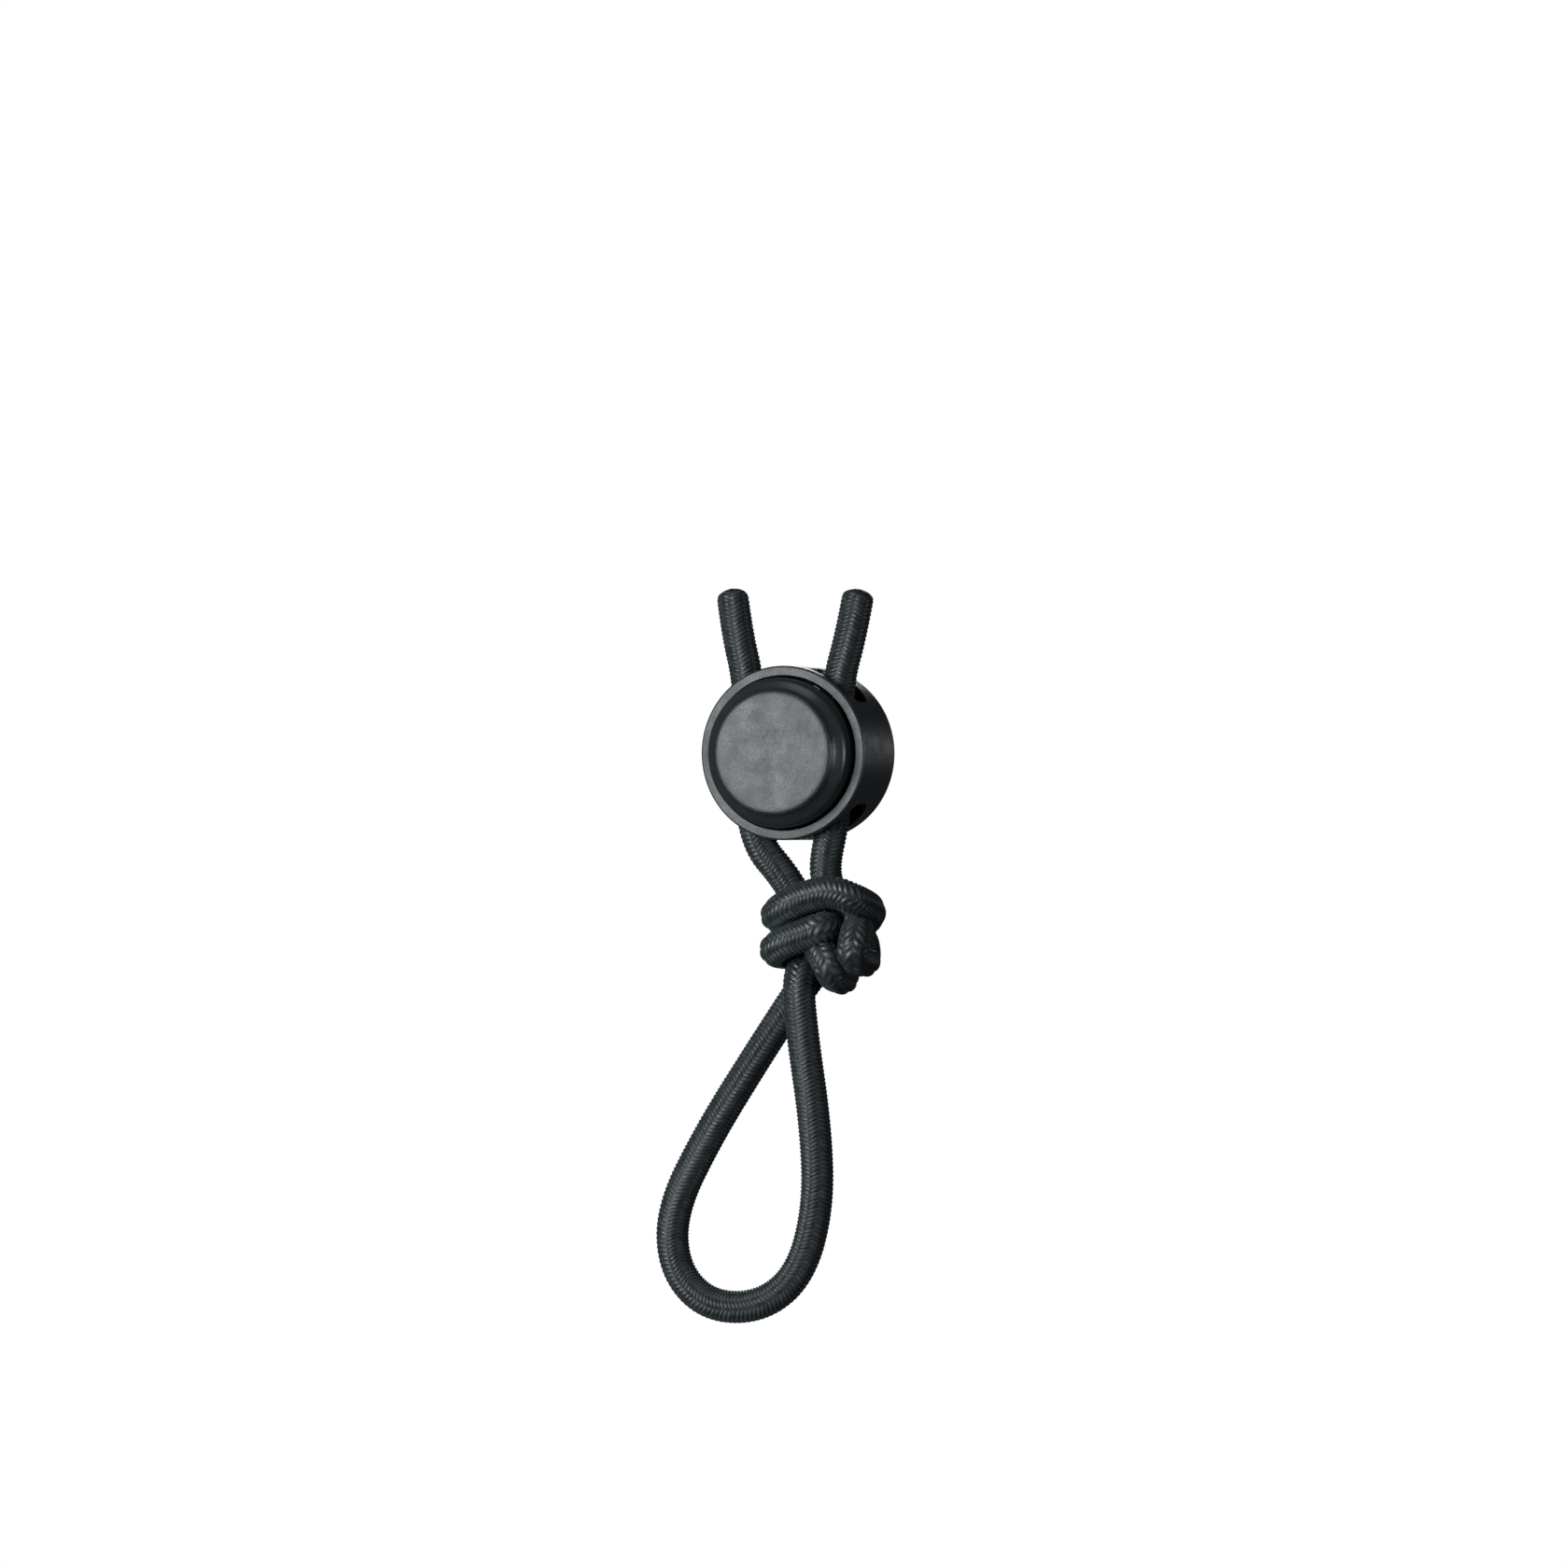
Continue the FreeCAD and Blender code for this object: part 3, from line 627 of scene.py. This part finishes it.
coils.faces.new(wire_rings[0])
coils.faces.new(reversed(wire_rings[-1]))
bmesh.ops.recalc_face_normals(coils, faces=coils.faces)
spring_mesh = bpy.data.meshes.new("return_spring")
coils.to_mesh(spring_mesh)
coils.free()
spring_mesh.shade_smooth()
return_spring = bpy.data.objects.new("return_spring", spring_mesh)
bpy.context.scene.collection.objects.link(return_spring)

wire, tree, shader = start_material("drawn_wire")
wire_place = add_node(tree, "ShaderNodeTexCoord").outputs["Object"]
draw_marks = add_node(tree, "ShaderNodeTexNoise", {
    "Vector": wire_place, "Scale": 9000.0, "Detail": 3.0})
stain = add_node(tree, "ShaderNodeTexNoise", {"Vector": wire_place, "Scale": 600.0, "Detail": 2.0})
wire_tone = add_node(tree, "ShaderNodeMix", {
    0: stain.outputs["Fac"], 6: (0.42, 0.41, 0.39, 1.0), 7: (0.60, 0.59, 0.57, 1.0)},
    data_type="RGBA")
wire_rough = add_node(tree, "ShaderNodeMapRange", {
    "Value": draw_marks.outputs["Fac"], "To Min": 0.22, "To Max": 0.40})
wire_bump = add_node(tree, "ShaderNodeBump", {
    "Height": draw_marks.outputs["Fac"], "Distance": 0.000008, "Strength": 0.6})
tree.links.new(wire_tone.outputs[2], shader.inputs["Base Color"])
tree.links.new(wire_rough.outputs["Result"], shader.inputs["Roughness"])
tree.links.new(wire_bump.outputs["Normal"], shader.inputs["Normal"])
shader.inputs["Metallic"].default_value = 1.0
spring_mesh.materials.append(wire)

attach(return_spring, "lock")
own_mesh(return_spring)
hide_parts("spring")


# ---- The studio -----------------------------------------------------------------------------
# A pale paper floor lies below the loop. One big soft lamp stands in front to the left, and
# weaker ones overhead, at the right and behind let the right-hand wall and the back be seen.

FLOOR_HEIGHT = -0.14
FLOOR_REACH = 0.4
FLOOR_FADES_FROM = 0.15
FLOOR_FADES_TO = 0.36
LAMPS_AIM_AT = Vector((0.0, 0.0, 2.0 * DRUM_AXIS_HEIGHT))
LAMP_WHITE = (0.93, 0.98, 1.0)

floor_mesh = bpy.data.meshes.new("floor")
floor_mesh.from_pydata(
    [(x, y, FLOOR_HEIGHT) for x, y in (
        (-FLOOR_REACH, -FLOOR_REACH), (FLOOR_REACH, -FLOOR_REACH),
        (FLOOR_REACH, FLOOR_REACH), (-FLOOR_REACH, FLOOR_REACH))],
    [], [(0, 1, 2, 3)])
floor = bpy.data.objects.new("floor", floor_mesh)
bpy.context.scene.collection.objects.link(floor)
paper, tree, shader = start_material("pale_paper")
shader.inputs["Base Color"].default_value = (0.9, 0.9, 0.9, 1.0)
shader.inputs["Roughness"].default_value = 0.9
shader.inputs["Emission Color"].default_value = (1.0, 1.0, 1.0, 1.0)
shader.inputs["Emission Strength"].default_value = 0.75
from_middle = add_node(tree, "ShaderNodeVectorMath", {0: add_node(
    tree, "ShaderNodeVectorMath", {
        0: add_node(tree, "ShaderNodeTexCoord").outputs["Object"], 1: (1.0, 1.0, 0.0)},
    operation="MULTIPLY").outputs[0]}, operation="LENGTH")
fade = add_node(tree, "ShaderNodeMapRange", {
    "Value": from_middle.outputs["Value"], "From Min": FLOOR_FADES_FROM,
    "From Max": FLOOR_FADES_TO}, interpolation_type="SMOOTHSTEP")
faded_paper = add_node(tree, "ShaderNodeMixShader", {
    0: fade.outputs["Result"], 1: shader.outputs["BSDF"],
    2: add_node(tree, "ShaderNodeBsdfTransparent").outputs[0]})
tree.links.new(faded_paper.outputs[0], tree.nodes["Material Output"].inputs["Surface"])
floor_mesh.materials.append(paper)
floor.visible_glossy = False
floor.visible_diffuse = False


def soft_lamp(name, turn, rise, distance, size, watts):
    """A square area lamp aimed just below the drum, placed by its angles in degrees round it."""
    turn = math.radians(turn)
    rise = math.radians(rise)
    lamp = bpy.data.objects.new(name, bpy.data.lights.new(name, "AREA"))
    lamp.data.size = size
    lamp.data.energy = watts
    lamp.data.color = LAMP_WHITE
    back = Vector((math.sin(turn) * math.cos(rise), -math.cos(turn) * math.cos(rise), math.sin(rise)))
    lamp.location = LAMPS_AIM_AT + back * distance
    lamp.rotation_euler = back.to_track_quat("Z", "Y").to_euler()
    lamp.visible_camera = False
    bpy.context.scene.collection.objects.link(lamp)


soft_lamp("front_softbox", -22.0, 6.0, 0.8, 0.45, 21.0)
soft_lamp("overhead_softbox", 0.0, 60.0, 0.8, 0.4, 1.1)
soft_lamp("right_card", 78.0, 0.0, 0.9, 0.3, 1.8)
soft_lamp("wall_glint", 158.0, 4.0, 0.9, 0.15, 0.12)
soft_lamp("rear_softbox", 202.0, 8.0, 0.9, 0.45, 2.5)

world = bpy.data.worlds.new("studio")
bpy.context.scene.world = world
world.use_nodes = True
tree = world.node_tree
tree.nodes.clear()
seen = add_node(tree, "ShaderNodeLightPath")
bright = add_node(tree, "ShaderNodeBackground", {"Color": (1.0, 1.0, 1.0, 1.0), "Strength": 1.0})
dim = add_node(tree, "ShaderNodeBackground", {"Color": (0.8, 0.9, 1.0, 1.0), "Strength": 0.05})
either = add_node(tree, "ShaderNodeMixShader", {
    0: seen.outputs["Is Camera Ray"], 1: dim.outputs[0], 2: bright.outputs[0]})
add_node(tree, "ShaderNodeOutputWorld", {"Surface": either.outputs[0]})
bpy.context.scene.view_settings.view_transform = "Standard"
